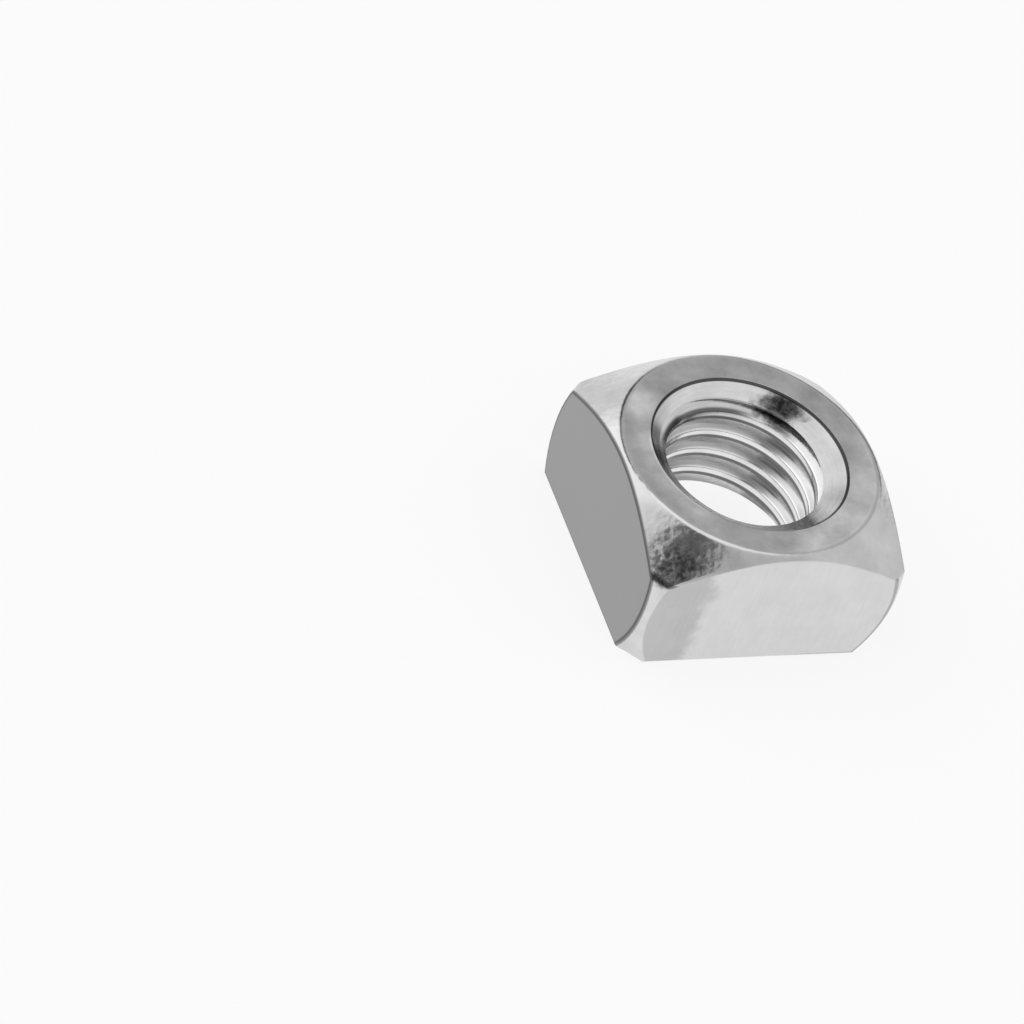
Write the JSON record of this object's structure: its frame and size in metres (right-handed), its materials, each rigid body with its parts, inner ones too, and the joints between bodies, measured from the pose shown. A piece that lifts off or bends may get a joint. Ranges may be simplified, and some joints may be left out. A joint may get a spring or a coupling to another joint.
{
  "type": "square nut",
  "caption": "Square nut with a coarse right-hand metric thread, bellied corners, a turned chamfer on its top face and a flat countersunk bearing face.",
  "frame": {"origin": "on the bearing face, on the thread's axis", "axes": "+Z along the thread's axis, out of the chamfered face; +X and +Y square to the nut's flat sides"},
  "size_m": [0.018, 0.018, 0.0095],
  "materials": {
    "bright_steel": "bright plated, satin, slightly mottled from forging"
  },
  "bodies": {
    "root": {"square_nut": "bright_steel"}
  },
  "joints": []
}
